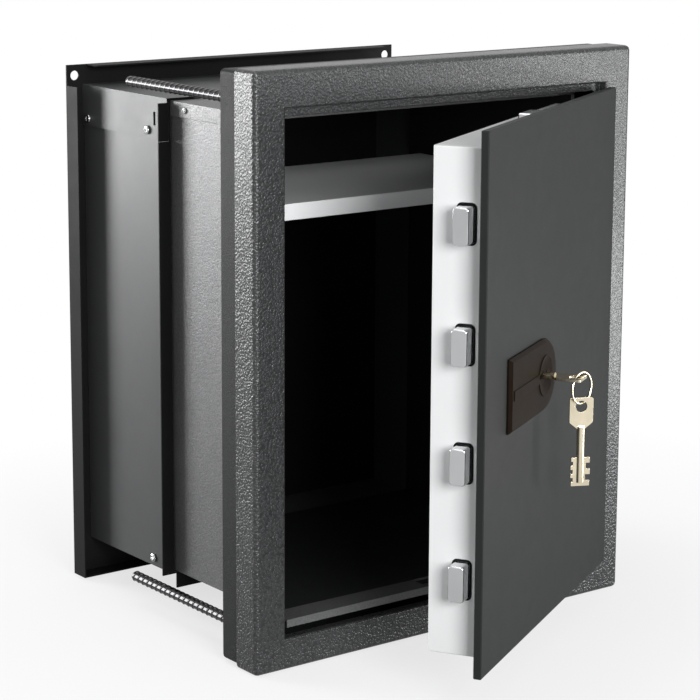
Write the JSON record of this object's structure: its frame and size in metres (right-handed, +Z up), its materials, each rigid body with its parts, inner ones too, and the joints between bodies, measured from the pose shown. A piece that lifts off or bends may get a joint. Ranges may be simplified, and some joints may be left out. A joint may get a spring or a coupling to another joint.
{
  "type": "wall safe",
  "caption": "Built-in wall safe: grey frame, depth-adjustable steel body with a shelf, and a thick door with chrome bolts, bronze key plate and keys.",
  "frame": {"origin": "middle of the bottom rail on the frame's back face, where it bears on the wall", "axes": "+Y points from the front into the wall, +X to the hinge side, +Z up"},
  "size_m": [0.419, 0.5156, 0.515],
  "materials": {
    "hammered_grey_paint": "hammered grey paint with a semi-gloss sheen",
    "light_grey_texture_paint": "light grey orange-peel texture paint",
    "smooth_grey_paint": "mid-grey smooth satin paint",
    "black_paint": "satin black paint",
    "dark_grey_paint": "dark grey fine texture paint",
    "white_powder_coat": "white powder coat",
    "dark_bronze": "dark bronze lacquer over cast metal",
    "polished_chrome": "bright chrome plate",
    "pale_brass": "pale polished brass",
    "plain_steel": "plain mill-finish steel",
    "zinc_plate": "bright zinc plate",
    "blackened_steel": "blackened ribbed anchor steel"
  },
  "bodies": {
    "wall_frame": {"front_frame": "hammered_grey_paint", "frame_rear_section": "dark_grey_paint", "body_shell": "light_grey_texture_paint", "body_top": "light_grey_texture_paint", "shelf": "white_powder_coat", "shelf_rail_left": "white_powder_coat", "shelf_rail_right": "white_powder_coat", "anchor_rod_bottom_left": "blackened_steel", "anchor_rod_bottom_right": "blackened_steel", "anchor_rod_top_left": "blackened_steel", "anchor_rod_top_right": "blackened_steel", "rod_nut_bottom_left": "zinc_plate", "rod_nut_bottom_right": "zinc_plate", "rod_nut_top_left": "zinc_plate", "rod_nut_top_right": "zinc_plate", "hinge_bracket_bottom": "plain_steel", "hinge_bracket_top": "plain_steel", "hinge_pin_bottom": "plain_steel", "hinge_pin_top": "plain_steel", "body_screw_left": "zinc_plate", "body_screw_right": "zinc_plate"},
    "rear_sleeve": {"sleeve_shell": "smooth_grey_paint", "sleeve_top": "smooth_grey_paint", "rear_plate": "black_paint", "sleeve_screw_rear_left": "zinc_plate", "sleeve_screw_rear_right": "zinc_plate", "sleeve_screw_front_left": "zinc_plate", "sleeve_screw_front_right": "zinc_plate", "sleeve_screw_bottom_left": "zinc_plate", "sleeve_screw_bottom_right": "zinc_plate"},
    "door": {"door_plate": "dark_grey_paint", "door_housing": "white_powder_coat", "door_back_cover": "white_powder_coat", "lock_case": "plain_steel", "escutcheon": "dark_bronze", "hinge_arm_bottom": "plain_steel", "hinge_arm_top": "plain_steel"},
    "bolt_work": {"bolt_carrier": "plain_steel", "locking_bolt_1": "polished_chrome", "locking_bolt_2": "polished_chrome", "locking_bolt_3": "polished_chrome", "locking_bolt_4": "polished_chrome"},
    "upper_bolt": {"top_bolt": "polished_chrome"},
    "lower_bolt": {"bottom_bolt": "polished_chrome"},
    "lock_key": {"key": "pale_brass"},
    "ring": {"key_ring": "pale_brass"},
    "loose_key": {"spare_key": "pale_brass"}
  },
  "joints": [
    {"name": "door_swing", "type": "hinge", "parent": "wall_frame", "child": "door", "pos_m": [0.1939, -0.0373, 0.23565], "axis": [0, 0, 1], "range_deg": [-30.35, 59.65]},
    {"name": "depth_slide", "type": "slide", "parent": "wall_frame", "child": "rear_sleeve", "axis": [0, 1, 0], "range_m": [-0.018, 0.055]},
    {"name": "bolt_throw", "type": "slide", "parent": "door", "child": "bolt_work", "axis": [-0.863, -0.5053, 0], "range_m": [0, 0.01]},
    {"name": "top_bolt_throw", "type": "slide", "parent": "door", "child": "upper_bolt", "axis": [0, 0, 1], "range_m": [0, 0.01]},
    {"name": "bottom_bolt_throw", "type": "slide", "parent": "door", "child": "lower_bolt", "axis": [0, 0, -1], "range_m": [0, 0.01]},
    {"name": "key_turn", "type": "hinge", "parent": "door", "child": "lock_key", "pos_m": [0.00547, -0.16466, 0.23565], "axis": [-0.5053, 0.863, 0], "range_deg": [0, 90]},
    {"name": "ring_swing", "type": "hinge", "parent": "lock_key", "child": "ring", "pos_m": [0.02153, -0.19067, 0.23565], "axis": [0.9816, 0.1908, 0], "range_deg": [-6, 6]},
    {"name": "spare_key_swing", "type": "hinge", "parent": "ring", "child": "loose_key", "pos_m": [0.03028, -0.18896, 0.21225], "axis": [0.9816, 0.1908, 0], "range_deg": [-12, 12]}
  ],
  "couplings": [
    {"joint": "top_bolt_throw", "follows": "bolt_throw", "ratio": 1},
    {"joint": "bottom_bolt_throw", "follows": "bolt_throw", "ratio": 1},
    {"joint": "key_turn", "follows": "bolt_throw", "rad_per_m": 157.08}
  ]
}
